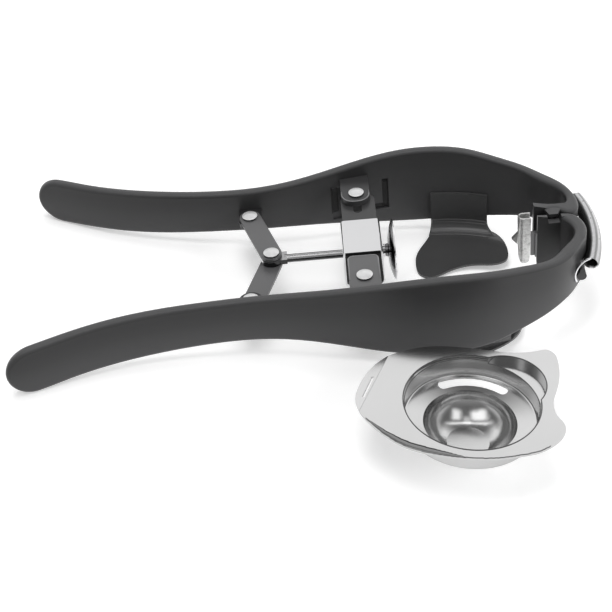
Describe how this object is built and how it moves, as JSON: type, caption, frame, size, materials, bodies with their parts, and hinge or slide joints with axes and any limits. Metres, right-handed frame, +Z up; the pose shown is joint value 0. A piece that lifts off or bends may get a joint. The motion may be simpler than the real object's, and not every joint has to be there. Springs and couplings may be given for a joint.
{
  "type": "egg opener",
  "caption": "Hand-held egg opener: two bowed plastic handles on a fulcrum, toggle-driven push rod and disc, egg paddles, piercing blade, return spring, separate steel yolk cup.",
  "frame": {"origin": "centre of the bounding box in plan, on the floor that the tool and the cup stand on", "axes": "+X along the tool from the grip tips to the hinge, +Y from the near handle to the far handle, +Z up"},
  "size_m": [0.242, 0.1854, 0.0433],
  "materials": {
    "handle_plastic": "satin moulded",
    "coated_sheet": "satin dark grey coating",
    "chrome_steel": "polished",
    "rivet_steel": "polished",
    "galvanised_steel": "galvanised, mottled",
    "spring_steel": "bright drawn wire",
    "cup_steel": "polished stainless sheet"
  },
  "bodies": {
    "near_handle": {"near_handle": "handle_plastic", "near_link_lug": "coated_sheet", "near_link_rivet": "rivet_steel", "near_bracket": "coated_sheet", "near_egg_paddle": "coated_sheet", "near_spring_lug": "handle_plastic", "piercing_blade": "galvanised_steel", "blade_foot": "galvanised_steel", "return_spring": "spring_steel", "near_spring_hook": "spring_steel"},
    "far_handle": {"far_handle": "handle_plastic", "far_link_lug": "coated_sheet", "far_link_rivet": "rivet_steel", "far_bracket": "coated_sheet", "far_bracket_rivet": "rivet_steel", "far_egg_paddle": "coated_sheet", "far_spring_lug": "handle_plastic", "far_spring_hook": "spring_steel"},
    "near_link": {"near_link": "coated_sheet"},
    "far_link": {"far_link": "coated_sheet"},
    "near_pivot": {"near_bracket_rivet": "rivet_steel"},
    "guide": {"guide_sleeve": "chrome_steel", "slide_plate": "coated_sheet"},
    "plunger": {"push_rod": "chrome_steel", "centre_rivet": "rivet_steel", "presser_disc": "chrome_steel", "disc_nut": "chrome_steel"},
    "cup": {"separator_cup": "cup_steel"}
  },
  "joints": [
    {"name": "fold", "type": "hinge", "parent": "near_handle", "child": "far_handle", "pos_m": [0.10829, 0.031, 0.02873], "axis": [-0.082, 0, 0.9966], "range_deg": [0, 10], "stiffness_Nm_per_rad": 0.6, "springref_deg": -14.32, "deforming": ["return_spring"]},
    {"name": "near_link_swing", "type": "hinge", "parent": "near_handle", "child": "near_link", "pos_m": [-0.02506, 0.0031, 0.01776], "axis": [-0.082, 0, 0.9966], "range_deg": [-34.37, 0]},
    {"name": "far_link_swing", "type": "hinge", "parent": "far_handle", "child": "far_link", "pos_m": [-0.02506, 0.0581, 0.01776], "axis": [-0.082, 0, 0.9966], "range_deg": [0, 34.37]},
    {"name": "bracket_turn", "type": "hinge", "parent": "near_handle", "child": "near_pivot", "pos_m": [0.02148, 0.002, 0.02159], "axis": [-0.082, 0, 0.9966], "range_deg": [0, 5.1]},
    {"name": "guide_slide", "type": "slide", "parent": "near_pivot", "child": "guide", "axis": [0, -1, 0], "range_m": [0, 0.00778]},
    {"name": "plunger_slide", "type": "slide", "parent": "guide", "child": "plunger", "axis": [0.9966, 0, 0.082], "range_m": [0, 0.0157]},
    {"name": "cup_aside", "type": "slide", "parent": "near_handle", "child": "cup", "axis": [0, -1, 0], "range_m": [0, 0.06]}
  ],
  "couplings": [
    {"joint": "near_link_swing", "follows": "fold", "ratio": -3.407},
    {"joint": "far_link_swing", "follows": "fold", "ratio": 3.407},
    {"joint": "bracket_turn", "follows": "fold", "ratio": 0.5},
    {"joint": "guide_slide", "follows": "fold", "m_per_rad": 0.04399},
    {"joint": "plunger_slide", "follows": "fold", "m_per_rad": 0.0894}
  ]
}
